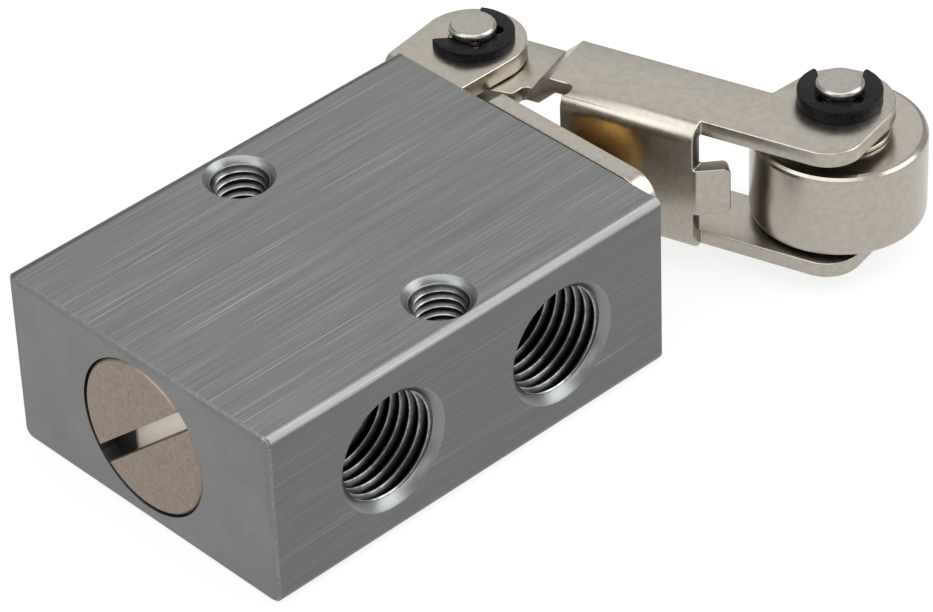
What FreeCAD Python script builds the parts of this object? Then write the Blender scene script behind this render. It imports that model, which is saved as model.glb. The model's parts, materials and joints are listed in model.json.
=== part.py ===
import FreeCAD, Part
import math
import os

from FreeCAD import Placement, Rotation, Vector

# Roller lever air valve, in millimetres, +Z up.
# The origin is the centre of the block's base face. The bore runs along X, the lever stands
# at the +X end, and the two threaded ports open on the -Y face.

# Block
BLOCK_L = 52.0
BLOCK_W = 37.5
BLOCK_H = 20.0
TOP_EDGE_R = 0.55
BASE_EDGE_R = 1.2
END_EDGE = 0.25

# Ports, G1/4: the wall stands at the thread's major radius
PORT_1_X = -10.7
PORT_2_X = 11.9
PORT_MAJOR_R = 6.58
PORT_MOUTH_R = 6.75
PORT_DEPTH = 11.0
PORT_TIP_DEPTH = 1.5
PASSAGE_R = 4.0

# Mounting holes, M6, through the block from top to base
HOLE_SPACING = 28.5
HOLE_MAJOR_R = 3.0
HOLE_MOUTH_R = 3.7

# Main bore, from the cap end to the lever end
CAP_BORE_R = 8.6
CAP_BORE_DEPTH = 7.5
POPPET_CHAMBER_R = 7.0
SEAT_X = 0.3
SEAT_RIDGE_H = 0.6
SEAT_RIDGE_W = 0.7
SEAT_WALL_T = 2.0
SEAT_HOLE_R = 3.4
OUTLET_CHAMBER_R = 6.2
BUSH_R = 7.0
BUSH_L = 11.0
BUSH_FIT = 0.02

# End cap
CAP_FACE_GAP = 0.15
CAP_FACE_L = 1.2
CAP_L = 8.0
CAP_THREAD_GAP = 0.02
CAP_SHOULDER_L = 5.6
CAP_NOSE_GAP = 0.1
CAP_SLOT_W = 2.0
CAP_SLOT_D = 1.8
CAP_SLOT_DEG = 41.0
CAP_GUIDE_DEPTH = 4.5
STEM_FIT = 0.05
CAP_EDGE = 0.3

# Rubber rings
BUSH_RING_T = 1.4
BUSH_GROOVE_W = 1.6
BUSH_RING_AT = 3.4
ROD_RING_T = 1.7
ROD_GROOVE_W = 1.9
ROD_RING_AT = 7.6
WIPER_L = 1.4
WIPER_R = 5.8
RING_GAP = 0.05

# Poppet
POPPET_R = 5.6
POPPET_CUP_L = 5.2
POPPET_SEAL_R = 4.8
POPPET_SEAL_T = 1.8
POPPET_STEM_R = 2.0
POPPET_GAP = 0.05
POPPET_TRAVEL = 2.6
STEM_END_GAP = 0.4

# Plunger
PLUNGER_R = 4.5
PLUNGER_FIT = 0.05
PLUNGER_DOME_R = 6.0
PLUNGER_COLLAR_R = 5.5
PLUNGER_COLLAR_T = 1.8
COLLAR_GAP = 0.3
NOSE_R = 2.6
NOSE_BORE_R = 1.3
NOSE_GAP = 1.0
VENT_BACK = 4.6
WEB_GAP = 0.1

# Springs
POPPET_SPRING_R = 4.5
POPPET_SPRING_WIRE = 0.8
POPPET_SPRING_TURNS = 5
PLUNGER_SPRING_R = 4.5
PLUNGER_SPRING_WIRE = 0.9
PLUNGER_SPRING_TURNS = 4
SPRING_END_GAP = 0.05
COIL_STEPS = 12
WIRE_SIDES = 6

# Bracket
PLATE_T = 2.0
PLATE_Y_NEAR = -16.2
PLATE_Y_STEP = 6.0
PLATE_Y_FAR = 20.6
PLATE_CORNER_R = 3.0
PLATE_STEP_R = 0.6
NECK_H = 11.0
PLATE_BORE_R = 5.2
EAR_OUTER_H = 16.0
EAR_LOBE_R = 5.63
EAR_BEND_R = 2.6

# Bracket screws, M3
SCREW_R = 1.5
SCREW_FIT = 0.05
SCREW_REACH = 7.0
SCREW_HEAD_R = 2.75
SCREW_HEAD_H = 1.6
SCREW_HEAD_ROUND = 0.9
SCREW_SOCKET_AF = 2.0
SCREW_SOCKET_D = 1.0
SCREW_NEAR_Y = -11.5
SCREW_FAR_Y = 11.0

# Lever pivot, out from the block's end, and the lever's angle from -Y at rest
PIVOT_OUT = 8.75
PIVOT_Y = 16.97
LEVER_DEG = 17.35

# Lever arm: u runs from the pivot towards the roller, v away from the block
LEVER_T = 1.7
LEVER_OUTER_H = 15.4
WEB_V = -4.5
BEND_R = 2.0
BEND_INNER_R = 0.3
FLANGE_NEAR_V = -2.5
PIVOT_LOBE_R = 5.15
EAR_PLAY = 0.2
JOGGLE_U = 8.2
JOGGLE_L = 2.0
WEB_U_START = 12.4
WEB_U_END = 27.5
NOTCH_U = 31.8
TIP_U = 43.3
TIP_R = 3.8
ROLLER_U = 38.5
ROLLER_V = 6.95
ROLLER_LOBE_R = 5.7
HEEL_U = 6.8
HEEL_V = -4.25
HEEL_NECK = 0.5
HEEL_R = 0.6
RELIEF_R = 0.65
TONGUE_H = 5.5
TONGUE_FLAT = 0.4
TONGUE_L = 3.6
TONGUE_DEG = 35.0
TONGUE_R = 0.7

# Pins and clips
PIN_R = 2.5
PIN_FIT = 0.05
PIVOT_PIN_STAND = 2.0
ROLLER_PIN_STAND = 2.45
PIN_HEAD_R = 3.7
PIN_HEAD_H = 1.2
PIN_CHAMFER = 0.25
GROOVE_R = 2.0
GROOVE_PLAY = 0.1
CLIP_R = 4.4
CLIP_T = 0.8
CLIP_FIT = 0.03
CLIP_BELOW_TOP = 1.0
CLIP_MOUTH_INNER = 3.7
CLIP_MOUTH_OUTER = 5.2
CLIP_POCKET_R = 0.75
CLIP_POCKET_AT = 2.45
CLIP_POCKET_DEG = 42.0
PIVOT_CLIP_DEG = 84.0
ROLLER_CLIP_DEG = 42.0

# Roller and washers
ROLLER_R = 9.15
ROLLER_W = 9.8
ROLLER_EDGE_R = 0.7
ROLLER_BORE_EDGE = 0.4
WASHER_R = 5.4
WASHER_T = 0.45
WASHER_GAP = 0.05

# Values that follow from the ones above
CAP_END_X = -BLOCK_L / 2
LEVER_END_X = BLOCK_L / 2
PORT_FACE_Y = -BLOCK_W / 2
AXIS_Z = BLOCK_H / 2
CAP_BORE_X = CAP_END_X + CAP_BORE_DEPTH
SEAT_WALL_X = SEAT_X + SEAT_RIDGE_H
OUTLET_X = SEAT_WALL_X + SEAT_WALL_T
BUSH_X = LEVER_END_X - BUSH_L
PLATE_X = LEVER_END_X + PLATE_T
PIVOT_X = LEVER_END_X + PIVOT_OUT
EAR_TOP_Z = AXIS_Z + EAR_OUTER_H / 2
LEVER_TOP_Z = AXIS_Z + LEVER_OUTER_H / 2
PIVOT_PIN_TOP_Z = EAR_TOP_Z + PIVOT_PIN_STAND
ROLLER_PIN_TOP_Z = LEVER_TOP_Z + ROLLER_PIN_STAND
ALONG_X = Vector(1, 0, 0)
ALONG_Y = Vector(0, 1, 0)
ALONG_Z = Vector(0, 0, 1)


def rod_x(x_start, x_end, radius, y=0.0):
    """A cylinder along X at the height of the bore's axis."""
    return Part.makeCylinder(radius, x_end - x_start, Vector(x_start, y, AXIS_Z), ALONG_X)


def rod_z(z_start, z_end, radius, x=0.0, y=0.0):
    """An upright cylinder."""
    return Part.makeCylinder(radius, z_end - z_start, Vector(x, y, z_start), ALONG_Z)


def box(low, high):
    """A box between two corners."""
    size = Vector(*high) - Vector(*low)
    return Part.makeBox(size.x, size.y, size.z, Vector(*low))


def prism(points, along):
    """A flat outline of 3-D points, extruded by a vector."""
    corners = [Vector(*point) for point in points]
    return Part.Face(Part.makePolygon(corners + corners[:1])).extrude(Vector(*along))


def turned(profile):
    """A closed outline of (x, radius) points, turned round the bore's axis."""
    corners = [Vector(x, 0, AXIS_Z + radius) for x, radius in profile]
    outline = Part.Face(Part.makePolygon(corners + corners[:1]))
    return outline.revolve(Vector(0, 0, AXIS_Z), ALONG_X, 360)


def edges_at(shape, x=None, y=None, z=None):
    """The straight edges that lie wholly at the given coordinates."""
    found = []
    for edge in shape.Edges:
        ends = [vertex.Point for vertex in edge.Vertexes]
        if len(ends) != 2 or edge.Curve.TypeId != "Part::GeomLine":
            continue
        wanted = [(x, 0), (y, 1), (z, 2)]
        fits = [abs(end[axis] - value) < 0.001 for value, axis in wanted if value is not None for end in ends]
        if all(fits):
            found.append(edge)
    return found


def mirrored_in_height(shape):
    """The same shape, turned over about the block's middle height."""
    return shape.mirror(Vector(0, 0, AXIS_Z), ALONG_Z)


def tangent_point(outside, centre, radius, side):
    """Where the line from a point touches a circle: side 1 is anticlockwise of the centre line."""
    to_centre = centre - outside
    distance = to_centre.Length
    reach = math.sqrt(distance ** 2 - radius ** 2)
    turn = side * math.asin(radius / distance)
    angle = math.atan2(to_centre.y, to_centre.x) + turn
    return outside + Vector(math.cos(angle), math.sin(angle), 0) * reach


def turned_upright(profile, x, y):
    """A closed outline of (z, radius) points, turned round an upright axis."""
    corners = [Vector(x + radius, y, z) for z, radius in profile]
    outline = Part.Face(Part.makePolygon(corners + corners[:1]))
    return outline.revolve(Vector(x, y, 0), ALONG_Z, 360)


def rim_flats(end, radius, round_r, into, flats):
    """Points (place along the axis, radius) of a rounded rim from its end face to its side, in a few flats."""
    points = []
    for step in range(flats + 1):
        turn = math.pi / 2 * step / flats
        points.append((end + into * round_r * (1 - math.cos(turn)), radius - round_r * (1 - math.sin(turn))))
    return points


def wire_section(centre, out, wire_r):
    """The corners of a section through a wire, in the plane of the bore's axis and the way out from it."""
    corners = []
    for side in range(WIRE_SIDES):
        around = 2 * math.pi * (side + 0.5) / WIRE_SIDES
        corners.append(centre + (out * math.cos(around) + ALONG_X * math.sin(around)) * wire_r)
    return corners


def coil_spring(x_start, x_end, coil_r, wire, turns):
    """A coil spring round the bore's axis between two faces, in short flat facets that keep its mesh light."""
    steps = turns * COIL_STEPS
    pitch = (x_end - x_start - wire) / steps
    sections = []
    for step in range(steps + 1):
        turn = 2 * math.pi * step / COIL_STEPS
        out = Vector(0, math.cos(turn), math.sin(turn))
        centre = Vector(x_start + wire / 2 + pitch * step, 0, AXIS_Z) + out * coil_r
        sections.append(wire_section(centre, out, wire / 2))
    facets = [sections[0], sections[-1]]
    for here, there in zip(sections, sections[1:]):
        for side in range(WIRE_SIDES):
            after = (side + 1) % WIRE_SIDES
            facets.append([here[side], here[after], there[side]])
            facets.append([here[after], there[after], there[side]])
    faces = [Part.Face(Part.makePolygon(corners + corners[:1])) for corners in facets]
    spring = Part.Solid(Part.Shell(faces))
    if spring.Volume < 0:
        spring.reverse()
    return spring


def ring_x(x_centre, inner_r, outer_r):
    """A rubber ring round the bore's axis, of square section."""
    half = (outer_r - inner_r) / 2
    ring = rod_x(x_centre - half, x_centre + half, outer_r)
    return ring.cut(rod_x(x_centre - half, x_centre + half, inner_r))


def lever_to_part(shape):
    """Moves a shape from lever coordinates to its place at rest."""
    shape.Placement = Placement(Vector(PIVOT_X, PIVOT_Y, 0), Rotation(ALONG_Z, LEVER_DEG - 90))
    return shape


def lever_point(u, v):
    """A point of the lever in the part's own coordinates at rest."""
    return Rotation(ALONG_Z, LEVER_DEG - 90).multVec(Vector(u, v, 0)) + Vector(PIVOT_X, PIVOT_Y, 0)


def port_cut(x):
    """The hole of one port, with its mouth, drill tip and passage to the bore."""
    mouth = PORT_MOUTH_R - PORT_MAJOR_R
    base = Vector(x, PORT_FACE_Y, AXIS_Z)
    thread = Part.makeCylinder(PORT_MAJOR_R, PORT_DEPTH, base, ALONG_Y)
    chamfer = Part.makeCone(PORT_MOUTH_R, PORT_MAJOR_R, mouth, base, ALONG_Y)
    tip_base = base + ALONG_Y * PORT_DEPTH
    tip = Part.makeCone(PORT_MAJOR_R, PASSAGE_R, PORT_TIP_DEPTH, tip_base, ALONG_Y)
    passage = Part.makeCylinder(PASSAGE_R, abs(PORT_FACE_Y), base, ALONG_Y)
    return thread.fuse([chamfer, tip, passage])


def mounting_hole_cut(y):
    """One threaded hole through the block, countersunk at both ends."""
    sink = HOLE_MOUTH_R - HOLE_MAJOR_R
    hole = rod_z(0, BLOCK_H, HOLE_MAJOR_R, 0, y)
    top = Part.makeCone(HOLE_MAJOR_R, HOLE_MOUTH_R, sink, Vector(0, y, BLOCK_H - sink), ALONG_Z)
    base = Part.makeCone(HOLE_MOUTH_R, HOLE_MAJOR_R, sink, Vector(0, y, 0), ALONG_Z)
    return hole.fuse([top, base])


def bore_cut():
    """The stepped bore: cap seat, poppet chamber, seat hole, outlet chamber and bush seat."""
    ridge_r = SEAT_HOLE_R + SEAT_RIDGE_W
    profile = [
        (CAP_END_X, 0), (CAP_END_X, CAP_BORE_R), (CAP_BORE_X, CAP_BORE_R), (CAP_BORE_X, POPPET_CHAMBER_R),
        (SEAT_WALL_X, POPPET_CHAMBER_R), (SEAT_WALL_X, ridge_r), (SEAT_X, ridge_r), (SEAT_X, SEAT_HOLE_R),
        (OUTLET_X, SEAT_HOLE_R), (OUTLET_X, OUTLET_CHAMBER_R), (BUSH_X, OUTLET_CHAMBER_R), (BUSH_X, BUSH_R),
        (LEVER_END_X, BUSH_R), (LEVER_END_X, 0),
    ]
    return turned(profile)


def valve_body():
    block = box((CAP_END_X, PORT_FACE_Y, 0), (LEVER_END_X, -PORT_FACE_Y, BLOCK_H))
    top_edges = edges_at(block, y=PORT_FACE_Y, z=BLOCK_H) + edges_at(block, y=-PORT_FACE_Y, z=BLOCK_H)
    block = block.makeFillet(TOP_EDGE_R, top_edges)
    base_edges = edges_at(block, y=PORT_FACE_Y, z=0) + edges_at(block, y=-PORT_FACE_Y, z=0)
    block = block.makeFillet(BASE_EDGE_R, base_edges)
    for x in (CAP_END_X, LEVER_END_X):
        end_face = min(block.Faces, key=lambda face: abs(face.CenterOfMass.x - x))
        block = block.makeChamfer(END_EDGE, end_face.OuterWire.Edges)
    cuts = [bore_cut(), port_cut(PORT_1_X), port_cut(PORT_2_X)]
    cuts += [mounting_hole_cut(side * HOLE_SPACING / 2) for side in (-1, 1)]
    cuts += [rod_x(PLATE_X - SCREW_REACH - PLATE_T, LEVER_END_X, SCREW_R + SCREW_FIT, y) for y in screw_rows()]
    return block.cut(cuts)


def end_cap():
    face_r = CAP_BORE_R - CAP_FACE_GAP
    thread_r = CAP_BORE_R - CAP_THREAD_GAP
    nose_r = POPPET_CHAMBER_R - CAP_NOSE_GAP
    thread_x = CAP_END_X + CAP_FACE_L
    shoulder_x = CAP_END_X + CAP_SHOULDER_L
    end_x = CAP_END_X + CAP_L
    guide_r = POPPET_STEM_R + STEM_FIT
    cap = turned([
        (CAP_END_X, 0), (CAP_END_X, face_r - CAP_EDGE), (CAP_END_X + CAP_EDGE, face_r), (thread_x, face_r),
        (thread_x, thread_r), (shoulder_x, thread_r), (shoulder_x, nose_r), (end_x, nose_r),
        (end_x, guide_r), (end_x - CAP_GUIDE_DEPTH, guide_r), (end_x - CAP_GUIDE_DEPTH, 0),
    ])
    slot = box((CAP_END_X, -CAP_BORE_R, AXIS_Z - CAP_SLOT_W / 2),
               (CAP_END_X + CAP_SLOT_D, CAP_BORE_R, AXIS_Z + CAP_SLOT_W / 2))
    slot.rotate(Vector(0, 0, AXIS_Z), ALONG_X, -CAP_SLOT_DEG)
    return cap.cut(slot)


def end_cap_seal():
    """The ring between the cap's shoulder and the step of the bore."""
    ring_t = CAP_BORE_R - POPPET_CHAMBER_R - RING_GAP
    return ring_x(CAP_BORE_X - ring_t / 2, POPPET_CHAMBER_R, CAP_BORE_R - RING_GAP)


def poppet_back_x():
    return SEAT_X - POPPET_GAP - POPPET_CUP_L


def poppet():
    seal_x = SEAT_X - POPPET_GAP
    recess_x = seal_x - POPPET_SEAL_T
    back_x = poppet_back_x()
    stem_x = CAP_END_X + CAP_L - CAP_GUIDE_DEPTH + POPPET_TRAVEL + STEM_END_GAP
    return turned([
        (stem_x, 0), (stem_x, POPPET_STEM_R), (back_x, POPPET_STEM_R), (back_x, POPPET_R),
        (seal_x - SEAT_RIDGE_H / 2, POPPET_R), (seal_x - SEAT_RIDGE_H / 2, POPPET_SEAL_R),
        (recess_x, POPPET_SEAL_R), (recess_x, 0),
    ])


def poppet_seal():
    seal_x = SEAT_X - POPPET_GAP
    return rod_x(seal_x - POPPET_SEAL_T, seal_x, POPPET_SEAL_R)


def dome_centre_x():
    """Where the centre of the plunger's dome lies, so that the dome just meets the lever's web."""
    angle = math.radians(LEVER_DEG)
    reach = PIVOT_Y * math.sin(angle) + WEB_V - PLUNGER_DOME_R - WEB_GAP
    return PIVOT_X + reach / math.cos(angle)


def collar_x():
    """The face of the plunger's collar on the cap's side."""
    return BUSH_X - COLLAR_GAP - PLUNGER_COLLAR_T


def plunger():
    centre_x = dome_centre_x()
    apex_x = centre_x + PLUNGER_DOME_R
    nose_x = SEAT_X - POPPET_GAP + NOSE_GAP
    vent_x = apex_x - VENT_BACK
    rod = rod_x(collar_x(), apex_x, PLUNGER_R)
    dome = Part.makeSphere(PLUNGER_DOME_R, Vector(centre_x, 0, AXIS_Z))
    shank = rod_x(collar_x(), centre_x, PLUNGER_R)
    head = rod.common(dome).fuse(shank)
    collar = rod_x(collar_x(), collar_x() + PLUNGER_COLLAR_T, PLUNGER_COLLAR_R)
    nose = rod_x(nose_x, collar_x(), NOSE_R)
    bore = rod_x(nose_x, vent_x, NOSE_BORE_R)
    vent = Part.makeCylinder(NOSE_BORE_R, PLUNGER_R, Vector(vent_x, 0, AXIS_Z), ALONG_Y)
    return head.fuse([collar, nose]).cut([bore, vent]).removeSplitter()


def poppet_spring():
    start = CAP_END_X + CAP_L + SPRING_END_GAP
    end = poppet_back_x() - SPRING_END_GAP
    return coil_spring(start, end, POPPET_SPRING_R, POPPET_SPRING_WIRE, POPPET_SPRING_TURNS)


def plunger_spring():
    start = OUTLET_X + SPRING_END_GAP
    end = collar_x() - SPRING_END_GAP
    return coil_spring(start, end, PLUNGER_SPRING_R, PLUNGER_SPRING_WIRE, PLUNGER_SPRING_TURNS)


def guide_bush():
    """The bush that guides the plunger, with a groove for each ring and a seat for the wiper."""
    bore_r = PLUNGER_R + PLUNGER_FIT
    outside_r = BUSH_R - BUSH_FIT
    wiper_x = LEVER_END_X - WIPER_L
    outer_low = BUSH_X + BUSH_RING_AT - BUSH_GROOVE_W / 2
    outer_high = outer_low + BUSH_GROOVE_W
    outer_groove_r = BUSH_R - RING_GAP - BUSH_RING_T
    inner_low = BUSH_X + ROD_RING_AT - ROD_GROOVE_W / 2
    inner_high = inner_low + ROD_GROOVE_W
    inner_groove_r = PLUNGER_R + RING_GAP + ROD_RING_T
    return turned([
        (BUSH_X, bore_r), (BUSH_X, outside_r), (outer_low, outside_r), (outer_low, outer_groove_r),
        (outer_high, outer_groove_r), (outer_high, outside_r), (LEVER_END_X, outside_r),
        (LEVER_END_X, WIPER_R), (wiper_x, WIPER_R), (wiper_x, bore_r), (inner_high, bore_r),
        (inner_high, inner_groove_r), (inner_low, inner_groove_r), (inner_low, bore_r),
    ])


def guide_bush_seal():
    outer_r = BUSH_R - RING_GAP
    return ring_x(BUSH_X + BUSH_RING_AT, outer_r - BUSH_RING_T, outer_r)


def plunger_seal():
    inner_r = PLUNGER_R + RING_GAP
    return ring_x(BUSH_X + ROD_RING_AT, inner_r, inner_r + ROD_RING_T)


def plunger_wiper():
    start = LEVER_END_X - WIPER_L
    bore_r = PLUNGER_R + RING_GAP
    return rod_x(start, LEVER_END_X, WIPER_R - BUSH_FIT).cut(rod_x(start, LEVER_END_X, bore_r))


def screw_rows():
    return (SCREW_NEAR_Y, SCREW_FAR_Y)


def bracket_plate():
    """The plate on the block's end, full height beside the bore and lower at the neck."""
    plate = box((LEVER_END_X, PLATE_Y_NEAR, 0), (PLATE_X, PLATE_Y_STEP, BLOCK_H))
    near_edges = edges_at(plate, y=PLATE_Y_NEAR, z=0) + edges_at(plate, y=PLATE_Y_NEAR, z=BLOCK_H)
    plate = plate.makeFillet(PLATE_CORNER_R, near_edges)
    step_edges = edges_at(plate, y=PLATE_Y_STEP, z=0) + edges_at(plate, y=PLATE_Y_STEP, z=BLOCK_H)
    plate = plate.makeFillet(PLATE_STEP_R, step_edges)
    neck = box((LEVER_END_X, PLATE_Y_STEP - PLATE_STEP_R, AXIS_Z - NECK_H / 2),
               (PLATE_X, PIVOT_Y, AXIS_Z + NECK_H / 2))
    return plate.fuse(neck)


def bracket_ears():
    """The bent end of the bracket: a channel, trimmed to the outline of the ears."""
    near_y = PIVOT_Y - EAR_LOBE_R
    low_z = AXIS_Z - EAR_OUTER_H / 2
    high_z = EAR_TOP_Z
    reach_x = PIVOT_X + EAR_LOBE_R
    far_y = PIVOT_Y + EAR_LOBE_R
    outer = box((LEVER_END_X, near_y, low_z), (reach_x, far_y, high_z))
    outer = outer.makeFillet(EAR_BEND_R, edges_at(outer, x=LEVER_END_X, z=low_z)
                             + edges_at(outer, x=LEVER_END_X, z=high_z))
    inner = box((PLATE_X, near_y, low_z + PLATE_T), (reach_x, far_y, high_z - PLATE_T))
    inner = inner.makeFillet(EAR_BEND_R - PLATE_T, edges_at(inner, x=PLATE_X, z=low_z + PLATE_T)
                             + edges_at(inner, x=PLATE_X, z=high_z - PLATE_T))
    channel = outer.cut(inner)
    corner = Vector(LEVER_END_X, PLATE_Y_FAR, 0)
    touch = tangent_point(corner, Vector(PIVOT_X, PIVOT_Y, 0), EAR_LOBE_R, 1)
    outline = prism([(LEVER_END_X, near_y, 0), (PIVOT_X, near_y, 0), (PIVOT_X, PIVOT_Y, 0),
                     (touch.x, touch.y, 0), (corner.x, corner.y, 0)], (0, 0, BLOCK_H))
    outline = outline.fuse(rod_z(0, BLOCK_H, EAR_LOBE_R, PIVOT_X, PIVOT_Y))
    return channel.common(outline)


def lever_bracket():
    bracket = bracket_plate().fuse(bracket_ears())
    cuts = [rod_x(LEVER_END_X, PLATE_X, PLATE_BORE_R), rod_z(0, BLOCK_H, PIN_R + PIN_FIT, PIVOT_X, PIVOT_Y)]
    cuts += [rod_x(LEVER_END_X, PLATE_X, SCREW_R + SCREW_FIT, y) for y in screw_rows()]
    return bracket.cut(cuts).removeSplitter()


def bracket_screw(y):
    start = PLATE_X - SCREW_REACH
    end = PLATE_X + SCREW_HEAD_H
    rim = rim_flats(end, SCREW_HEAD_R, SCREW_HEAD_ROUND, -1, 2)
    profile = [(start, 0), (start, SCREW_R), (PLATE_X, SCREW_R), (PLATE_X, SCREW_HEAD_R)]
    screw = turned(profile + rim[::-1] + [(end, 0)])
    corner_r = SCREW_SOCKET_AF / math.sqrt(3)
    socket_x = end - SCREW_SOCKET_D
    turns = [math.radians(60 * step) for step in range(6)]
    corners = [(socket_x, corner_r * math.cos(turn), AXIS_Z + corner_r * math.sin(turn)) for turn in turns]
    screw = screw.cut(prism(corners, (SCREW_SOCKET_D, 0, 0)))
    screw.translate(Vector(0, y, 0))
    return screw


def bracket_screws():
    return Part.makeCompound([bracket_screw(y) for y in screw_rows()])


def clip_z(pin_top_z):
    """The underside of the clip on a pin."""
    return pin_top_z - CLIP_BELOW_TOP - CLIP_T


def headed_pin(x, y, seat_z, top_z):
    """A pin whose head bears on the sheet's underside and whose grooved end stands out above."""
    groove_low = clip_z(top_z) - GROOVE_PLAY / 2
    groove_high = clip_z(top_z) + CLIP_T + GROOVE_PLAY / 2
    profile = [
        (seat_z - PIN_HEAD_H, 0), (seat_z - PIN_HEAD_H, PIN_HEAD_R), (seat_z, PIN_HEAD_R), (seat_z, PIN_R),
        (groove_low, PIN_R), (groove_low, GROOVE_R), (groove_high, GROOVE_R), (groove_high, PIN_R),
        (top_z - PIN_CHAMFER, PIN_R), (top_z, PIN_R - PIN_CHAMFER), (top_z, 0),
    ]
    return turned_upright(profile, x, y)


def e_clip(x, y, pin_top_z, mouth_deg):
    """A clip with an open mouth and two pockets that leave three lobes on the groove."""
    low = clip_z(pin_top_z)
    clip = rod_z(low, low + CLIP_T, CLIP_R)
    cuts = [rod_z(low, low + CLIP_T, GROOVE_R + CLIP_FIT)]
    for side in (-1, 1):
        turn = math.radians(180 + side * CLIP_POCKET_DEG)
        cuts.append(rod_z(low, low + CLIP_T, CLIP_POCKET_R, CLIP_POCKET_AT * math.cos(turn),
                          CLIP_POCKET_AT * math.sin(turn)))
    mouth = prism([(0, -CLIP_MOUTH_INNER / 2, low), (CLIP_R, -CLIP_MOUTH_OUTER / 2, low),
                   (CLIP_R, CLIP_MOUTH_OUTER / 2, low), (0, CLIP_MOUTH_INNER / 2, low)], (0, 0, CLIP_T))
    clip = clip.cut(cuts + [mouth])
    clip.Placement = Placement(Vector(x, y, 0), Rotation(ALONG_Z, mouth_deg))
    return clip


def lever_outline():
    """The flange seen from above, in lever coordinates, as an upright prism of the block's height."""
    roller_centre = Vector(ROLLER_U, ROLLER_V, 0)
    notch = Vector(NOTCH_U, PIVOT_LOBE_R, 0)
    tip = Vector(TIP_U, FLANGE_NEAR_V, 0)
    lobe_start = tangent_point(notch, roller_centre, ROLLER_LOBE_R, 1)
    lobe_end = tangent_point(tip, roller_centre, ROLLER_LOBE_R, -1)
    heel = Vector(HEEL_U, HEEL_V, 0)
    neck = Vector(HEEL_U + HEEL_NECK, FLANGE_NEAR_V, 0)
    heel_start = tangent_point(heel, Vector(0, 0, 0), PIVOT_LOBE_R, 1)
    corners = [
        (0, PIVOT_LOBE_R), (notch.x, notch.y), (lobe_start.x, lobe_start.y), (ROLLER_U, ROLLER_V),
        (lobe_end.x, lobe_end.y), (tip.x, tip.y), (neck.x, neck.y), (heel.x, heel.y),
        (heel_start.x, heel_start.y), (0, 0),
    ]
    outline = prism([(u, v, 0) for u, v in corners], (0, 0, BLOCK_H))
    outline = outline.makeFillet(TIP_R, edges_at(outline, x=tip.x, y=tip.y))
    soft = edges_at(outline, x=neck.x, y=neck.y) + edges_at(outline, x=heel.x, y=heel.y)
    outline = outline.makeFillet(HEEL_R, soft)
    lobes = [rod_z(0, BLOCK_H, PIVOT_LOBE_R), rod_z(0, BLOCK_H, ROLLER_LOBE_R, ROLLER_U, ROLLER_V)]
    return outline.fuse(lobes)


def flange_ribbon():
    """The upper flange from the side, with its joggle, as wide as the lever."""
    high = LEVER_TOP_Z
    low = EAR_TOP_Z - PLATE_T - EAR_PLAY
    slope = math.atan2(high - low, JOGGLE_L)
    shift = LEVER_T * math.tan(slope / 2)
    start = -PIVOT_LOBE_R
    end = TIP_U + ROLLER_LOBE_R
    over = [(start, low), (JOGGLE_U, low), (JOGGLE_U + JOGGLE_L, high), (end, high)]
    under = [(end, high - LEVER_T), (JOGGLE_U + JOGGLE_L + shift, high - LEVER_T),
             (JOGGLE_U + shift, low - LEVER_T), (start, low - LEVER_T)]
    near_v = -PIVOT_LOBE_R
    far_v = ROLLER_V + ROLLER_LOBE_R
    return prism([(u, near_v, z) for u, z in over + under], (0, far_v - near_v, 0))


def lever_channel():
    """The web with its two bends."""
    high = LEVER_TOP_Z
    low = 2 * AXIS_Z - high
    back = FLANGE_NEAR_V + LEVER_T
    outer = box((WEB_U_START, WEB_V, low), (WEB_U_END, back, high))
    outer = outer.makeFillet(BEND_R, edges_at(outer, y=WEB_V, z=low) + edges_at(outer, y=WEB_V, z=high))
    inner_v = WEB_V + LEVER_T
    inner = box((WEB_U_START, inner_v, low + LEVER_T), (WEB_U_END, back, high - LEVER_T))
    inner_edges = edges_at(inner, y=inner_v, z=low + LEVER_T) + edges_at(inner, y=inner_v, z=high - LEVER_T)
    reliefs = [rod_z(z, z + LEVER_T, RELIEF_R, WEB_U_START, FLANGE_NEAR_V - RELIEF_R)
               for z in (low, high - LEVER_T)]
    return outer.cut([inner.makeFillet(BEND_INNER_R, inner_edges)] + reliefs)


def lever_tongue():
    """The tongue at the web's end, bent away from the block."""
    bend = math.radians(TONGUE_DEG)
    along = Vector(math.cos(bend), math.sin(bend), 0)
    across = Vector(-math.sin(bend), math.cos(bend), 0)
    low_z = AXIS_Z - TONGUE_H / 2
    root = Vector(WEB_U_END - LEVER_T, WEB_V, low_z)
    corner = Vector(WEB_U_END + TONGUE_FLAT, WEB_V, low_z)
    inside = corner + Vector(-LEVER_T * math.tan(bend / 2), LEVER_T, 0)
    tip = corner + along * TONGUE_L
    points = [root, corner, tip, tip + across * LEVER_T, inside, root + Vector(0, LEVER_T, 0)]
    tongue = prism([tuple(point) for point in points], (0, 0, TONGUE_H))
    tip_edges = [edge for edge in tongue.Edges
                 if abs((edge.CenterOfMass - tip).dot(along)) < 0.001
                 and abs(abs(edge.CenterOfMass.z - AXIS_Z) - TONGUE_H / 2) < 0.001]
    return tongue.makeFillet(TONGUE_R, tip_edges)


def lever_arm():
    upper = flange_ribbon().common(lever_outline())
    arm = upper.fuse([mirrored_in_height(upper), lever_channel(), lever_tongue()])
    holes = [rod_z(0, BLOCK_H, PIN_R + PIN_FIT), rod_z(0, BLOCK_H, PIN_R + PIN_FIT, ROLLER_U, ROLLER_V)]
    return lever_to_part(arm.cut(holes).removeSplitter())


def roller_low_z():
    """The roller lies on its lower washer."""
    inner_low = 2 * AXIS_Z - LEVER_TOP_Z + LEVER_T
    return inner_low + WASHER_T + 2 * WASHER_GAP


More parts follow.
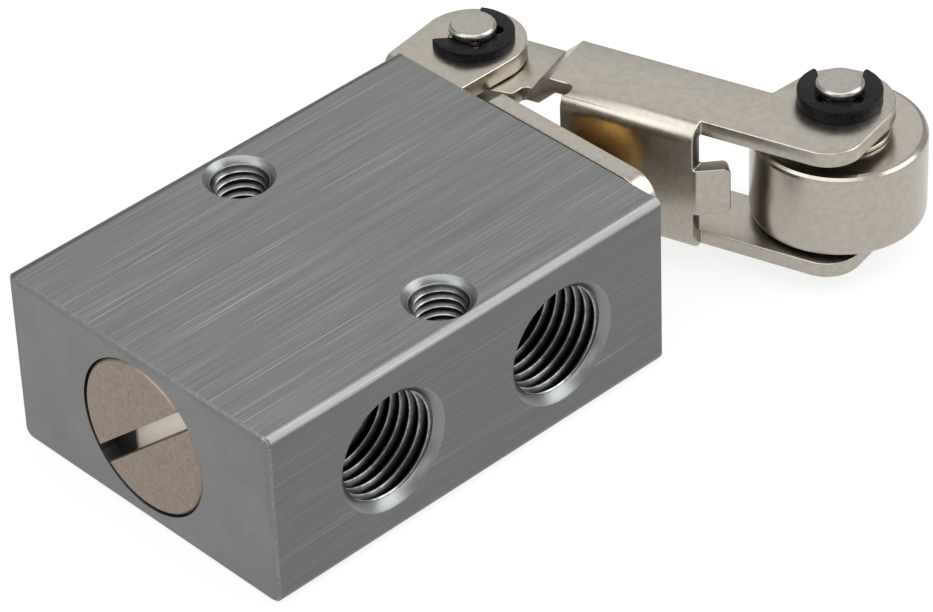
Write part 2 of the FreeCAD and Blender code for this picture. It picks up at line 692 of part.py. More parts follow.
def roller():
    centre = lever_point(ROLLER_U, ROLLER_V)
    low = roller_low_z()
    high = low + ROLLER_W
    bore_r = PIN_R + PIN_FIT
    mouth_r = bore_r + ROLLER_BORE_EDGE
    profile = [(low + ROLLER_BORE_EDGE, bore_r), (low, mouth_r)]
    profile += rim_flats(low, ROLLER_R, ROLLER_EDGE_R, 1, 3)
    profile += rim_flats(high, ROLLER_R, ROLLER_EDGE_R, -1, 3)[::-1]
    profile += [(high, mouth_r), (high - ROLLER_BORE_EDGE, bore_r)]
    return turned_upright(profile, centre.x, centre.y)


def roller_washers():
    centre = lever_point(ROLLER_U, ROLLER_V)
    lower_z = roller_low_z() - WASHER_GAP - WASHER_T
    upper_z = roller_low_z() + ROLLER_W + WASHER_GAP
    washers = []
    for z in (lower_z, upper_z):
        disc = rod_z(z, z + WASHER_T, WASHER_R, centre.x, centre.y)
        washers.append(disc.cut(rod_z(z, z + WASHER_T, PIN_R + PIN_FIT, centre.x, centre.y)))
    return Part.makeCompound(washers)


def pivot_pin():
    return headed_pin(PIVOT_X, PIVOT_Y, AXIS_Z - EAR_OUTER_H / 2, PIVOT_PIN_TOP_Z)


def pivot_clip():
    return e_clip(PIVOT_X, PIVOT_Y, PIVOT_PIN_TOP_Z, PIVOT_CLIP_DEG)


def roller_pin():
    centre = lever_point(ROLLER_U, ROLLER_V)
    return headed_pin(centre.x, centre.y, 2 * AXIS_Z - LEVER_TOP_Z, ROLLER_PIN_TOP_Z)


def roller_clip():
    centre = lever_point(ROLLER_U, ROLLER_V)
    return e_clip(centre.x, centre.y, ROLLER_PIN_TOP_Z, ROLLER_CLIP_DEG)


NODES = [
    valve_body, end_cap, end_cap_seal, poppet_spring, poppet, poppet_seal, plunger, plunger_spring,
    guide_bush, guide_bush_seal, plunger_seal, plunger_wiper, lever_bracket, bracket_screws,
    pivot_pin, pivot_clip, lever_arm, roller, roller_washers, roller_pin, roller_clip,
]

os.makedirs("parts", exist_ok=True)
for make in NODES:
    shape = make()
    shape.exportStep("parts/" + make.__name__ + ".step")
    print(make.__name__, "solids", len(shape.Solids), "volume", round(shape.Volume, 2), "valid", shape.isValid())
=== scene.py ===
import json
import math

import bmesh
import bpy
from mathutils import Matrix, Vector

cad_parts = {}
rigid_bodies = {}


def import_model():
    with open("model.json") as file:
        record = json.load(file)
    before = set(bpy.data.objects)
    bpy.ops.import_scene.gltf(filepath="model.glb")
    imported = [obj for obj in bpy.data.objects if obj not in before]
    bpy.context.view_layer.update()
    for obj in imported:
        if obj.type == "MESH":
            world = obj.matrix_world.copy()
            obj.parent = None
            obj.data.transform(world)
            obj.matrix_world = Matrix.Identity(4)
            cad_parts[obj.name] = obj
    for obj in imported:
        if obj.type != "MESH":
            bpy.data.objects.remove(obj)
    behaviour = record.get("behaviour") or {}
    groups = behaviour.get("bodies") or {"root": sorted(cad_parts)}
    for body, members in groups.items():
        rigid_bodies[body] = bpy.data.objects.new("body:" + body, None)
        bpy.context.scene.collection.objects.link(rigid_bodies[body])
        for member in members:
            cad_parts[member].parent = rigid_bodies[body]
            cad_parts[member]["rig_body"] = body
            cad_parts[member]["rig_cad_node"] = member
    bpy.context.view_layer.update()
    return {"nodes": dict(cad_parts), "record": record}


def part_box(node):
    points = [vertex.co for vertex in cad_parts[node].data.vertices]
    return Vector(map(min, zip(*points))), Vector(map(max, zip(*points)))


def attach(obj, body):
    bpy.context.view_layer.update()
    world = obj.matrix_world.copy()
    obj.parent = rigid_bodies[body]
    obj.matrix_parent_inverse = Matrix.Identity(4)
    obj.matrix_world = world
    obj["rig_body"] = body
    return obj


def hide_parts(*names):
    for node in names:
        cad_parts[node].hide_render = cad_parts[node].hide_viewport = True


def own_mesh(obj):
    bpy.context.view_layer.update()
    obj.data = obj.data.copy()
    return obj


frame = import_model()
NODES = frame["nodes"]
MOUNTS = {mount["name"]: mount for mount in frame["record"]["mounts"]}
MM = 0.001

# Camera: place in metres, turn in degrees, from the photograph's edges and circles
CAMERA_AT = (-0.24126, -0.27958, 0.29295)
CAMERA_TURN = (52.5818, 1.8112, -44.0810)
CAMERA_LENS = 182.397

# Lengths of the pieces are in millimetres

# Threads: pitch, depth, and the radius at the crests and at the mouth
PORT_PITCH = 1.337
PORT_DEPTH = 10.4
PORT_MINOR_R = 5.72
PORT_MOUTH_R = 6.75
HOLE_PITCH = 1.0
HOLE_DEPTH = 19.0
HOLE_MINOR_R = 2.5
HOLE_MOUTH_R = 3.7
RUN_OUT = 0.3
STEPS_PER_TURN = 64
ROOT_SHARE = 0.94
CREST_SHARE = 0.13
TRIM_DEPTH = 2.5
TRIM_RISE = 0.5

# The smooth chamfers at the mouths of the holes, and their gap to the block
WALL_GAP = 0.012
MOUTH_WALL = 0.25
MOUTH_EDGE = 0.04
PORT_MOUTH_L = 0.86
HOLE_MOUTH_L = 0.62

# Merging and rounding of the finished copies, angles in degrees
MERGE_TWINS = 0.002
MERGE_FACETS = 0.06
FLAT_ANGLE = 0.5
SHARP_ANGLE = 32
SMOOTH_ANGLE = 40

# The bracket's ears: x, height over the middle and radius of the outer bend in the solid and in the scene
EAR_FOOT_Y = 11.3
EAR_FAR_Y = 20.5
EAR_LOBE_X = 33
EAR_BEND = (28.6, 5.4, 2.6)
EAR_TIGHT = (27.2, 6.8, 1.2)
EAR_SLOPE = 0.2465
EAR_REACH = 0.6

# Clips, angles in degrees
CLIP_CORNER = 0.6
CLIP_RIM_R = 4.2
CLIP_CORNER_ANGLE = 40
CLIP_ARM_ROOT = 78
CLIP_ARM_SHARE = 0.45
PIVOT_CLIP_MOUTH = 84
PIVOT_CLIP_TURN = 10
PIVOT_CLIP_DROP = 0.18
# The roller clip's rim reaches down into the gap beneath it, black that paints the shadow there
ROLLER_CLIP_SHADOW_DROP = 0.62

# Where the block's surface turns over before its long top edges, and how deep
EDGE_WEAR_START = 0.1
EDGE_WEAR = 1.05
EDGE_WEAR_DEPTH = 0.30

# The cap's slot: depths between which its walls end, and where along y its painted shadow starts and is full
SLOT_FLOOR = (1.2, 1.5)
SLOT_SHADOW_SPAN = (2.8, 3.4)

# Greys of the block and of its threads, as (value, colour); the threads' greys paint a highlight on the crests and
# shade in the grooves
BLOCK_GREYS = [(0.32, (0.148, 0.153, 0.154)), (0.5, (0.190, 0.193, 0.191)), (0.68, (0.275, 0.276, 0.270))]
THREAD_LIT_AND_SHADED_GREYS = [(0.13, (0.42, 0.43, 0.42)), (0.30, (0.11, 0.115, 0.112)), (0.8, (0.025, 0.026, 0.026))]
SCRATCH_GREY = (0.50, 0.50, 0.49, 1)
# Painted shade: the darker, warmer tint of the block's side faces
SIDE_SHADE_TINT = (0.88, 0.868, 0.845, 1)
SLOT_BRIGHT = (0.62, 0.57, 0.49, 1)
# Painted shadow at the far end of the cap's slot
SLOT_SHADOW_GREY = (0.02, 0.02, 0.02, 1)

# Light
FLOOR_GLOW = 0.82
WORLD_LIGHT = 0.50


# Selecting and finishing

def deselect():
    for thing in bpy.context.selected_objects:
        thing.select_set(False)


def make_active(piece):
    deselect()
    piece.select_set(True)
    bpy.context.view_layer.objects.active = piece


def edit(piece):
    """Opens the piece in edit mode with all of it selected."""
    make_active(piece)
    bpy.ops.object.mode_set(mode="EDIT")
    bpy.ops.mesh.select_all(action="SELECT")


def close():
    """Leaves edit mode with nothing selected."""
    bpy.ops.mesh.select_all(action="DESELECT")
    bpy.ops.object.mode_set(mode="OBJECT")


def select_parts(piece, kind, wanted):
    """Selects, in edit mode, the faces or edges for which wanted(part) is true, and nothing else."""
    bpy.ops.mesh.select_mode(type=kind)
    bpy.ops.mesh.select_all(action="DESELECT")
    mesh = bmesh.from_edit_mesh(piece.data)
    parts = mesh.faces if kind == "FACE" else mesh.edges
    for part in [part for part in parts if wanted(part)]:
        part.select_set(True)
    bmesh.update_edit_mesh(piece.data)


def modify(piece, kind, **settings):
    """Adds a modifier with its settings and applies it."""
    modifier = piece.modifiers.new(kind.lower(), kind)
    for key, value in settings.items():
        setattr(modifier, key, value)
    make_active(piece)
    bpy.ops.object.modifier_apply(modifier=modifier.name)


def settle(piece, at=(0, 0, 0), turn=(0, 0, 0)):
    """Puts the piece in its place, in millimetres and degrees, and the place into its mesh."""
    make_active(piece)
    piece.rotation_euler = [math.radians(angle) for angle in turn]
    piece.location = Vector(at) * MM
    bpy.ops.object.transform_apply(location=True, rotation=True, scale=True)


def smooth(piece, degrees=SMOOTH_ANGLE):
    make_active(piece)
    bpy.ops.object.shade_smooth_by_angle(angle=math.radians(degrees))


def give(piece, material):
    piece.data.materials.clear()
    piece.data.materials.append(material)


# Finished copies of the CAD nodes

def merged_copy(node, merge=MERGE_TWINS, reshape=None):
    """A copy of a CAD node with its loose triangles joined, shaped further in edit mode by reshape."""
    make_active(NODES[node])
    bpy.ops.object.duplicate()
    piece = bpy.context.view_layer.objects.active
    piece.name = node + "_finished"
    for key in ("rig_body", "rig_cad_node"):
        if key in piece:
            del piece[key]
    piece.parent = None
    edit(piece)
    bpy.ops.mesh.remove_doubles(threshold=merge * MM)
    bpy.ops.mesh.dissolve_limited(angle_limit=math.radians(FLAT_ANGLE))
    bpy.ops.mesh.select_all(action="DESELECT")
    if reshape:
        reshape(piece)
    close()
    return piece


def stand_in(piece, node, body):
    """Puts the finished copy in the node's place, on the same body."""
    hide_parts(node)
    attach(piece, body)


def coil(node):
    """A finished copy of a spring, smoothed, standing in for its node on the body with a mesh of its own."""
    piece = merged_copy(node)
    smooth(piece)
    stand_in(piece, node, "body")
    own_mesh(piece)
    return piece


def softened(node, body, width, segments=3, reshape=None, merge=MERGE_TWINS):
    """A copy of a CAD node with its sharp edges rounded, which stands for it.

    With a wider merge the smallest facets go first, and the rounding keeps its full width.
    """
    piece = merged_copy(node, merge, reshape)
    modify(piece, "BEVEL", width=width * MM, segments=segments, limit_method="ANGLE",
           angle_limit=math.radians(SHARP_ANGLE), use_clamp_overlap=merge == MERGE_TWINS, harden_normals=False)
    smooth(piece)
    stand_in(piece, node, body)
    return piece


def tighten_ears(piece):
    """Turns the bracket's outer bends on a smaller radius and carries their far side out a little."""
    bend_x, bend_h, bend_r = EAR_BEND
    tight_x, tight_h, tight_r = EAR_TIGHT
    share = tight_r / bend_r
    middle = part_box("valve_body")[1].z / 2
    for corner in bmesh.from_edit_mesh(piece.data).verts:
        x, y, height = corner.co.x / MM, corner.co.y / MM, (corner.co.z - middle) / MM
        if y < EAR_FOOT_Y or abs(height) < bend_h - 0.01:
            continue
        far = y > EAR_FAR_Y
        across, up = x - bend_x, abs(height) - bend_h
        if across < 0.01 and abs(math.hypot(across, up) - bend_r) < 0.02:
            moved = tight_x + share * across
            corner.co.x = moved * MM
            corner.co.z = middle + math.copysign(tight_h + share * up, height) * MM
            if far:
                corner.co.y += EAR_SLOPE * (moved - x) * MM
        if far and x < EAR_LOBE_X:
            corner.co.y += EAR_REACH * MM
    bmesh.update_edit_mesh(piece.data)


def shorten_arms(piece, centre):
    """Ends the pivot clip's arms sooner and more squarely, and turns the clip on its pin."""
    arm_root = math.radians(CLIP_ARM_ROOT)
    for corner in bmesh.from_edit_mesh(piece.data).verts:
        arm = corner.co.xy - centre.xy
        off = math.remainder(math.atan2(arm.y, arm.x) - math.radians(PIVOT_CLIP_MOUTH), math.tau)
        turn = math.radians(PIVOT_CLIP_TURN)
        if abs(off) < arm_root:
            turn += math.copysign((1 - CLIP_ARM_SHARE) * (arm_root - abs(off)), off)
        corner.co.xy = centre.xy + Matrix.Rotation(turn, 2) @ arm
    bmesh.update_edit_mesh(piece.data)


def clip_shaper(centre, drop, short_arms):
    """Rounds the outer corners of a clip's open ends and thickens its rim downwards by drop; on the roller clip this
    black rim stands in for the shadow in the gap beneath it.
    """
    def outer_corner(edge):
        first, second = edge.verts
        upright = (first.co - second.co).xy.length < 0.001 * MM
        on_rim = (first.co.xy - centre.xy).length > CLIP_RIM_R * MM
        return upright and on_rim and edge.is_manifold and edge.calc_face_angle() > math.radians(CLIP_CORNER_ANGLE)

    def shape(piece):
        if short_arms:
            shorten_arms(piece, centre)
        select_parts(piece, "EDGE", outer_corner)
        bpy.ops.mesh.bevel(offset=CLIP_CORNER * MM, segments=5)
        select_parts(piece, "FACE", lambda face: face.normal.z < -0.9)
        bpy.ops.transform.translate(value=(0, 0, -drop * MM))
    return shape


# Threads

def thread(name, at, turn, pitch, depth, wall_r, minor_r, mouth_r):
    """One thread as a helical tooth on the wall of its hole, trimmed by the hole's chamfer."""
    height = (wall_r - minor_r) * MM
    root = wall_r * MM - WALL_GAP * MM
    bpy.ops.mesh.primitive_plane_add(size=1, location=(0, 0, 0))
    tooth = bpy.context.object
    tooth.name = name
    edit(tooth)
    bpy.ops.transform.rotate(value=math.radians(90), orient_axis="X", center_override=(0, 0, 0))
    bpy.ops.transform.resize(value=(height, 1, pitch * MM * ROOT_SHARE))
    bpy.ops.transform.translate(value=(root - height / 2, 0, pitch * MM))
    for corner in bmesh.from_edit_mesh(tooth.data).verts:
        if corner.co.x < root - height / 2:
            corner.co.z = pitch * MM + (corner.co.z - pitch * MM) * CREST_SHARE
    bmesh.update_edit_mesh(tooth.data)
    bpy.ops.mesh.select_all(action="SELECT")
    bpy.ops.mesh.delete(type="ONLY_FACE")
    bpy.ops.object.mode_set(mode="OBJECT")
    modify(tooth, "SCREW", axis="Z", steps=STEPS_PER_TURN, render_steps=STEPS_PER_TURN, screw_offset=-pitch * MM,
           iterations=int((depth - RUN_OUT) / pitch) + 1, use_merge_vertices=True, merge_threshold=0.0001 * MM)
    edit(tooth)
    bpy.ops.mesh.select_all(action="DESELECT")
    bpy.ops.mesh.select_mode(type="EDGE")
    bpy.ops.mesh.select_non_manifold()
    bpy.ops.mesh.fill()
    bpy.ops.mesh.select_mode(type="FACE")
    bpy.ops.mesh.select_all(action="SELECT")
    bpy.ops.mesh.normals_make_consistent(inside=False)
    close()
    trim_mouth(tooth, mouth_r * MM)
    settle(tooth, at, turn)
    smooth(tooth, 25)
    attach(tooth, "body")
    return tooth


def trim_mouth(tooth, reach):
    """Cuts the first turns back to the face and the chamfer."""
    depth, rise = TRIM_DEPTH * MM, TRIM_RISE * MM
    bpy.ops.mesh.primitive_cone_add(vertices=96, radius1=reach - depth, radius2=reach + rise, depth=depth + rise,
                                    location=(0, 0, (rise - depth) / 2))
    chamfer = bpy.context.object
    bpy.ops.mesh.primitive_cylinder_add(vertices=32, radius=reach * 1.4, depth=6 * MM, location=(0, 0, 3 * MM))
    above = bpy.context.object
    for cutter in (chamfer, above):
        modify(tooth, "BOOLEAN", operation="DIFFERENCE", solver="EXACT", object=cutter)
    for cutter in (chamfer, above):
        bpy.data.objects.remove(cutter)


def mouth_ring(name, at, turn, mouth_r, length):
    """The smooth chamfer at a hole's mouth, a thin cone just inside the block's own."""
    bpy.ops.mesh.primitive_cone_add(vertices=128, radius1=(mouth_r - length) * MM, radius2=mouth_r * MM,
                                    depth=length * MM, end_fill_type="NOTHING", location=(0, 0, 0))
    ring = bpy.context.object
    ring.name = name
    settle(ring, (0, 0, -length / 2))
    edit(ring)
    bpy.ops.mesh.flip_normals()
    close()
    modify(ring, "SOLIDIFY", thickness=MOUTH_WALL * MM, offset=-1)
    modify(ring, "BEVEL", width=MOUTH_EDGE * MM, segments=2, limit_method="ANGLE")
    settle(ring, at, turn)
    smooth(ring)
    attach(ring, "body")
    return ring


# Shader nodes

def feed(tree, socket, value):
    """Links another node's output to a socket, or sets a plain value on it."""
    if isinstance(value, bpy.types.NodeSocket):
        tree.links.new(value, socket)
    else:
        socket.default_value = value


def add(tree, kind, inputs=(), **settings):
    """A new node with its settings, and its inputs by name or number."""
    node = tree.nodes.new(kind)
    for key, value in settings.items():
        setattr(node, key, value)
    for key, value in dict(inputs).items():
        feed(tree, node.inputs[key], value)
    return node


def object_place(tree):
    return add(tree, "ShaderNodeTexCoord").outputs["Object"]


def along(tree, vector, axis):
    """A vector's part along one axis."""
    return add(tree, "ShaderNodeSeparateXYZ", {0: vector}).outputs[axis]


def maths(tree, operation, *values):
    return add(tree, "ShaderNodeMath", enumerate(values), operation=operation).outputs[0]


def vector_maths(tree, operation, *values, result="Vector"):
    return add(tree, "ShaderNodeVectorMath", enumerate(values), operation=operation).outputs[result]


def ranged(tree, value, low, high, low_out=0.0, high_out=1.0, curve="LINEAR"):
    """A value stretched so that low and high come out as low_out and high_out, and held past them."""
    limits = {"Value": value, "From Min": low, "From Max": high, "To Min": low_out, "To Max": high_out}
    return add(tree, "ShaderNodeMapRange", limits, interpolation_type=curve).outputs["Result"]


def mixed_value(tree, share, first, second):
    """One of two values, or a blend, by a share from 0 to 1."""
    return add(tree, "ShaderNodeMix", {"Factor": share, "A": first, "B": second}, data_type="FLOAT").outputs["Result"]


def mixed_colour(tree, share, first, second, blend="MIX"):
    """One of two colours, or a blend, by a share from 0 to 1."""
    return add(tree, "ShaderNodeMix", {0: share, 6: first, 7: second}, data_type="RGBA", blend_type=blend).outputs[2]


def coloured(tree, value, stops):
    """A colour by a value, between stops of (value, colour)."""
    ramp = add(tree, "ShaderNodeValToRGB", {"Fac": value})
    elements = ramp.color_ramp.elements
    for element, (position, colour) in ((elements[0], stops[0]), (elements[1], stops[-1])):
        element.position = position
        element.color = (*colour, 1)
    for position, colour in stops[1:-1]:
        elements.new(position).color = (*colour, 1)
    return ramp.outputs["Color"]


def noise(tree, vector, scale, detail, roughness=0.5):
    values = {"Vector": vector, "Scale": scale, "Detail": detail, "Roughness": roughness}
    return add(tree, "ShaderNodeTexNoise", values).outputs["Fac"]


def bumped(tree, height, strength, distance, under=None):
    """A normal turned by a height, over another bump if there is one."""
    values = {"Height": height, "Strength": strength, "Distance": distance}
    if under is not None:
        values["Normal"] = under
    return add(tree, "ShaderNodeBump", values).outputs["Normal"]


def scratches_group():
    """Long fine scratches: a value round one half, drawn out along one axis."""
    tree = bpy.data.node_groups.new("drawn_scratches", "ShaderNodeTree")
    tree.interface.new_socket(name="Fine", in_out="INPUT", socket_type="NodeSocketFloat").default_value = 9000.0
    tree.interface.new_socket(name="Stretch", in_out="INPUT",
                              socket_type="NodeSocketVector").default_value = (0.02, 1.0, 1.0)
    tree.interface.new_socket(name="Value", in_out="OUTPUT", socket_type="NodeSocketFloat")
    asked = add(tree, "NodeGroupInput").outputs
    drawn_out = vector_maths(tree, "MULTIPLY", object_place(tree), asked["Stretch"])
    add(tree, "NodeGroupOutput", {"Value": noise(tree, drawn_out, asked["Fine"], 4.0, 0.62)})
    return tree


DRAWN_SCRATCHES = scratches_group()


def scratches(tree, fine, stretch=1.0):
    """The scratches' value at a fineness, drawn out along x by a stretch below 1."""
    values = {"Fine": fine, "Stretch": (stretch, 1.0, 1.0)}
    return add(tree, "ShaderNodeGroup", values, node_tree=DRAWN_SCRATCHES).outputs["Value"]


def facing(tree, axis):
    """1 where the surface faces along an axis, either way, else 0."""
    normal = add(tree, "ShaderNodeNewGeometry").outputs["Normal"]
    return ranged(tree, maths(tree, "ABSOLUTE", along(tree, normal, axis)), 0.80, 0.97)


# Materials

def new_material(name, values):
    """A material, its tree and its shader, with plain values on the shader's own sockets."""
    material = bpy.data.materials.new(name)
    material.use_nodes = True
    tree = material.node_tree
    shader = tree.nodes["Principled BSDF"]
    for key, value in values.items():
        shader.inputs[key].default_value = value
    return material, tree, shader


def worn_edges(tree):
    """Turns the surface over a little before the block's long top edges, as handling does."""
    place = object_place(tree)
    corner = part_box("valve_body")[1]
    rises = []
    for limit, value in ((corner.y, maths(tree, "ABSOLUTE", along(tree, place, "Y"))),
                         (corner.z, along(tree, place, "Z"))):
        inset = maths(tree, "SUBTRACT", limit, value)
        rises.append(ranged(tree, inset, EDGE_WEAR_START * MM, EDGE_WEAR * MM, curve="SMOOTHSTEP"))
    return bumped(tree, maths(tree, "ADD", *rises), 1.0, EDGE_WEAR_DEPTH * MM)


def block_grain(tree, on_end, on_side):
    """Long scratches on top; on the sides a calmer grain, pulled darker as painted shade; on the ends a matt cloud,
    held a little darker as painted shade.
    """
    broad = maths(tree, "MULTIPLY", scratches(tree, 800.0, 0.05), 0.25)
    grain = maths(tree, "MULTIPLY_ADD", scratches(tree, 6400.0, 0.009), 0.75, broad)
    # painted shade: the sides' grain is pulled towards a darker value
    calmed_and_shaded = mixed_value(tree, on_side, grain, mixed_value(tree, 0.35, grain, 0.22))
    # painted shade: the ends' cloud is held a little darker
    cloud = mixed_value(tree, 0.6, 0.30, scratches(tree, 180.0))
    ends = mixed_value(tree, 0.5, scratches(tree, 5000.0), cloud)
    return mixed_value(tree, on_end, calmed_and_shaded, ends)


def brushed_block():
    """Drawn aluminium with its grain and a few bright scratches on the top and the sides, the sides tinted darker and
    warmer as painted shade.
    """
    material, tree, shader = new_material("brushed_block", {"Metallic": 1.0})
    on_side = facing(tree, "Y")
    pattern = block_grain(tree, facing(tree, "X"), on_side)
    sparse = ranged(tree, scratches(tree, 6200.0, 0.005), 0.60, 0.72)
    marked = maths(tree, "MULTIPLY", sparse, mixed_value(tree, on_side, facing(tree, "Z"), 0.4))
    colour = mixed_colour(tree, marked, coloured(tree, pattern, BLOCK_GREYS), SCRATCH_GREY)
    # painted shade: the side faces are tinted darker and warmer than the top
    feed(tree, shader.inputs["Base Color"], mixed_colour(tree, on_side, colour, SIDE_SHADE_TINT, blend="MULTIPLY"))
    feed(tree, shader.inputs["Roughness"], ranged(tree, pattern, 0.0, 1.0, 0.34, 0.48))
    feed(tree, shader.inputs["Normal"], bumped(tree, pattern, 0.16, 0.03 * MM, under=worn_edges(tree)))
    return material


def thread_finish(name, at, across, crest_r, root_r):
    """Cut thread with a painted highlight on the crests and painted shade darkening the grooves, under a faint smear.
    """
    material, tree, shader = new_material(name, {"Metallic": 1.0, "Roughness": 0.30})
    place = object_place(tree)
    offset = vector_maths(tree, "SUBTRACT", place, Vector(at) * MM)
    radius = vector_maths(tree, "LENGTH", vector_maths(tree, "MULTIPLY", offset, across), result="Value")
    # painted highlight and painted shade: bright at the crests, darker towards the groove roots
    depth = ranged(tree, radius, crest_r * MM, root_r * MM)
    smear = noise(tree, place, 1400.0, 4.0)
    smear_and_groove_shade = maths(tree, "MULTIPLY_ADD", smear, 0.30, depth)
    feed(tree, shader.inputs["Base Color"], coloured(tree, smear_and_groove_shade, THREAD_LIT_AND_SHADED_GREYS))
    feed(tree, shader.inputs["Normal"], bumped(tree, smear, 0.25, 0.03 * MM))
    return material


def plated(name, dark, light, rough_low, rough_high, mottle=900.0, bump_strength=0.08):
    """Plated metal with a faint mottle and fine handling marks."""
    material, tree, shader = new_material(name, {"Metallic": 1.0})
    cloud = noise(tree, object_place(tree), mottle, 5.0, 0.6)
    feed(tree, shader.inputs["Base Color"], coloured(tree, cloud, [(0.3, dark), (0.7, light)]))
    feed(tree, shader.inputs["Roughness"], ranged(tree, cloud, 0.0, 1.0, rough_low, rough_high))
    feed(tree, shader.inputs["Normal"], bumped(tree, cloud, bump_strength, 0.05 * MM))
    return material


def slotted_cap(name, **finish):
    """The cap's finish, with the slot's floor left bright from the cutter and a painted shadow darkening its far end.
    """
    material = plated(name, **finish)
    tree = material.node_tree
    base = tree.nodes["Principled BSDF"].inputs["Base Color"]
    plating = base.links[0].from_socket
    place = object_place(tree)
    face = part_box("end_cap")[0].x
    in_slot = ranged(tree, along(tree, place, "X"), *(face + depth * MM for depth in SLOT_FLOOR))
    # painted shadow: the slot's floor goes near black towards its far end
    in_shadow = ranged(tree, along(tree, place, "Y"), *(start * MM for start in SLOT_SHADOW_SPAN))
    floor_colour = mixed_colour(tree, in_shadow, SLOT_BRIGHT, SLOT_SHADOW_GREY)
    feed(tree, base, mixed_colour(tree, in_slot, plating, floor_colour))
    return material


def dull(name, dark, light, rough, shine=0.2):
    """A coating or rubber with a fine uneven surface."""
    material, tree, shader = new_material(name, {"Roughness": rough, "Specular IOR Level": shine})
    grain = noise(tree, object_place(tree), 2500.0, 3.0)
    feed(tree, shader.inputs["Base Color"], coloured(tree, grain, [(0.35, dark), (0.7, light)]))
    feed(tree, shader.inputs["Normal"], bumped(tree, grain, 0.2, 0.03 * MM))
    return material


BLOCK = brushed_block()
MOUTH = plated("machined_mouth", (0.19, 0.20, 0.198), (0.235, 0.245, 0.24), 0.32, 0.38, mottle=6000.0,
               bump_strength=0.03)
CAP = slotted_cap("cap_nickel", dark=(0.215, 0.172, 0.135), light=(0.315, 0.26, 0.212), rough_low=0.40,
                  rough_high=0.56, mottle=2400.0, bump_strength=0.1)
SHEET = plated("nickel_sheet", (0.355, 0.328, 0.285), (0.435, 0.403, 0.355), 0.24, 0.36, mottle=1500.0,
               bump_strength=0.06)
TURNED = plated("nickel_turned", (0.375, 0.342, 0.297), (0.435, 0.40, 0.352), 0.18, 0.30, mottle=1300.0)
PIN = plated("nickel_pin", (0.33, 0.31, 0.285), (0.40, 0.38, 0.35), 0.22, 0.34, mottle=1800.0)
BRASS = plated("brass_turned", (0.42, 0.23, 0.06), (0.56, 0.34, 0.11), 0.28, 0.42)
WIRE = plated("spring_wire", (0.36, 0.36, 0.35), (0.46, 0.46, 0.45), 0.25, 0.4)
SCREW = plated("zinc_screw", (0.38, 0.38, 0.38), (0.48, 0.48, 0.49), 0.28, 0.42)
BLACK = dull("black_phosphate", (0.003, 0.003, 0.004), (0.010, 0.010, 0.011), 0.30, shine=0.09)
RUBBER = dull("seal_rubber", (0.010, 0.010, 0.010), (0.022, 0.022, 0.022), 0.65)

FINISHES = {
    "valve_body": BLOCK, "end_cap": CAP, "end_cap_seal": RUBBER, "poppet_spring": WIRE, "poppet": BRASS,
    "poppet_seal": RUBBER, "plunger": BRASS, "plunger_spring": WIRE, "guide_bush": BRASS,
    "guide_bush_seal": RUBBER, "plunger_seal": RUBBER, "plunger_wiper": RUBBER, "lever_bracket": SHEET,
    "bracket_screws": SCREW, "pivot_pin": TURNED, "pivot_clip": BLACK, "lever_arm": SHEET, "roller": TURNED,
    "roller_washers": TURNED, "roller_pin": TURNED, "roller_clip": BLACK,
}
for node, material in FINISHES.items():
    give(NODES[node], material)


# Pieces

def clip(node, body, pin, drop, short_arms=False):
    low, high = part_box(pin)
    reshape = clip_shaper((low + high) / 2, drop, short_arms)
    give(softened(node, body, 0.14, reshape=reshape), BLACK)


def threaded_hole(name, at, turn, across, pitch, depth, wall_r, minor_r, mouth_r, mouth_l):
    """A hole's thread and the smooth chamfer at its mouth."""
    give(thread(name + "_thread", at, turn, pitch, depth, wall_r, minor_r, mouth_r),
         thread_finish(name + "_thread", at, across, minor_r, wall_r))
    give(mouth_ring(name + "_mouth", at, turn, mouth_r - WALL_GAP, mouth_l), MOUTH)


def ports():
    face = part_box("valve_body")[0].y / MM
    for name in ("port_1", "port_2"):
        x, _, z = MOUNTS[name]["pos_m"]
        threaded_hole(name, (x / MM, face, z / MM), (90, 0, 0), (1, 0, 1), PORT_PITCH, PORT_DEPTH,
                      MOUNTS[name]["dims"]["r_mm"], PORT_MINOR_R, PORT_MOUTH_R, PORT_MOUTH_L)


def mounting_holes():
    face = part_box("valve_body")[1].z / MM
    size = MOUNTS["mounting_holes"]["dims"]
    for number, side in enumerate((-1, 1), 1):
        at = (0, side * size["spacing_y_mm"] / 2, face)
        threaded_hole(f"mounting_hole_{number}", at, (0, 0, 0), (1, 1, 0), HOLE_PITCH, HOLE_DEPTH,
                      size["hole_r_mm"], HOLE_MINOR_R, HOLE_MOUTH_R, HOLE_MOUTH_L)


deselect()
give(softened("lever_arm", "lever", 0.14, merge=MERGE_FACETS), SHEET)
give(softened("lever_bracket", "body", 0.12, merge=MERGE_FACETS, reshape=tighten_ears), SHEET)
clip("pivot_clip", "body", "pivot_pin", PIVOT_CLIP_DROP, short_arms=True)
clip("roller_clip", "lever", "roller_pin", ROLLER_CLIP_SHADOW_DROP)
give(softened("pivot_pin", "body", 0.12, segments=2), PIN)
give(softened("roller_pin", "lever", 0.12, segments=2), PIN)
give(softened("end_cap", "body", 0.10, segments=2), CAP)
give(softened("roller_washers", "lever", 0.10, segments=2), TURNED)
give(coil("plunger_spring"), WIRE)
give(coil("poppet_spring"), WIRE)
ports()
mounting_holes()


# Floor, light and camera, in metres

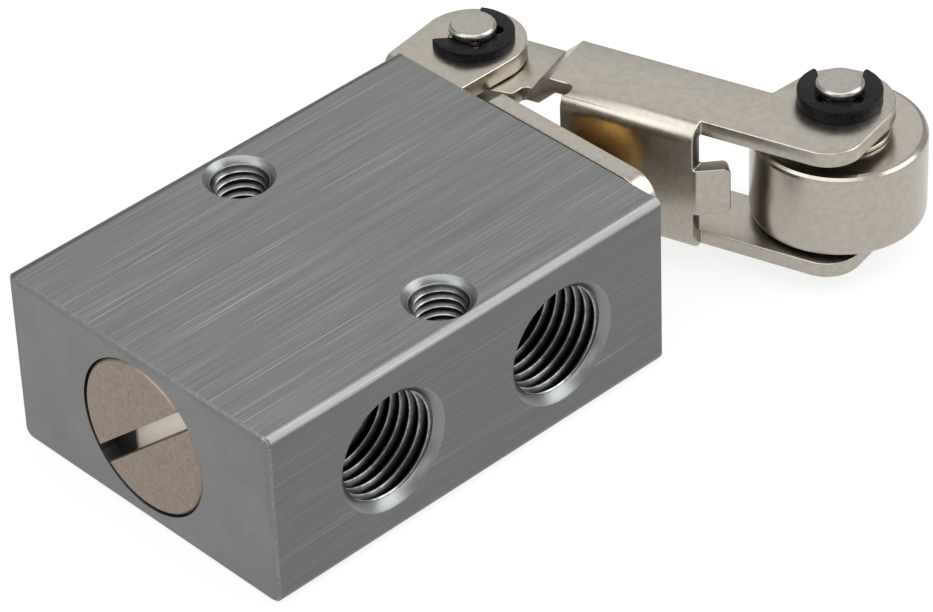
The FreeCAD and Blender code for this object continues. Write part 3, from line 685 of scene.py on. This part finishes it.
def floor():
    """A white floor that the camera and the metal see brighter than its lamps make it, shadows kept."""
    bpy.ops.mesh.primitive_plane_add(size=4, location=(0, 0, -0.0002))
    piece = bpy.context.object
    piece.name = "floor"
    material, tree, shader = new_material("floor_white", {"Base Color": (0.93, 0.93, 0.93, 1), "Roughness": 0.9})
    rays = add(tree, "ShaderNodeLightPath").outputs
    seen = maths(tree, "MAXIMUM", rays["Is Camera Ray"], rays["Is Glossy Ray"])
    white = add(tree, "ShaderNodeEmission", {"Strength": 1.0})
    layers = {0: maths(tree, "MULTIPLY", seen, FLOOR_GLOW), 1: shader.outputs[0], 2: white.outputs[0]}
    mixed = add(tree, "ShaderNodeMixShader", layers)
    feed(tree, tree.nodes["Material Output"].inputs["Surface"], mixed.outputs[0])
    give(piece, material)


def place_in_scene(name, data, at):
    thing = bpy.data.objects.new(name, data)
    bpy.context.scene.collection.objects.link(thing)
    thing.location = at
    return thing


def softbox(name, at, size, brightness, aim=(0.01, 0, 0.01), upright=(0, 0, 1)):
    """A soft rectangular lamp, its height drawn along upright; its brightness is what a mirror would show."""
    light = bpy.data.lights.new(name, "AREA")
    light.shape = "RECTANGLE"
    light.size, light.size_y = size
    light.energy = brightness * math.pi * size[0] * size[1]
    back = (Vector(at) - Vector(aim)).normalized()
    side = Vector(upright).cross(back).normalized()
    lamp = place_in_scene(name, light, at)
    lamp.rotation_euler = Matrix((side, back.cross(side), back)).transposed().to_euler()


def world():
    surroundings = bpy.data.worlds.new("studio")
    bpy.context.scene.world = surroundings
    surroundings.use_nodes = True
    background = surroundings.node_tree.nodes["Background"]
    background.inputs["Color"].default_value = (1, 1, 1, 1)
    background.inputs["Strength"].default_value = WORLD_LIGHT


def camera():
    data = bpy.data.cameras.new("camera")
    data.sensor_width = 36
    data.lens = CAMERA_LENS
    data.clip_start = 0.01
    data.clip_end = 10
    viewer = place_in_scene("camera", data, CAMERA_AT)
    viewer.rotation_euler = [math.radians(angle) for angle in CAMERA_TURN]
    bpy.context.scene.camera = viewer


floor()
world()
softbox("far_panel", (0.40, 0.43, 0.46), (0.55, 0.55), 0.63)
softbox("right_panel", (0.40, -0.34, 0.45), (0.46, 0.80), 3.4, upright=(0, 0.69, 0.72))
softbox("left_panel", (-0.66, 0.11, 0.34), (0.50, 0.46), 2.4)
softbox("back_panel", (-0.45, 0.44, 0.40), (0.36, 0.36), 0.5)
softbox("overhead_panel", (-0.34, -0.10, 0.70), (0.93, 0.90), 1.9, aim=(-0.34, -0.10, 0))
softbox("front_panel", (-0.31, -0.57, 0.26), (0.26, 0.26), 1.4)
camera()
bpy.context.scene.view_settings.view_transform = "Standard"
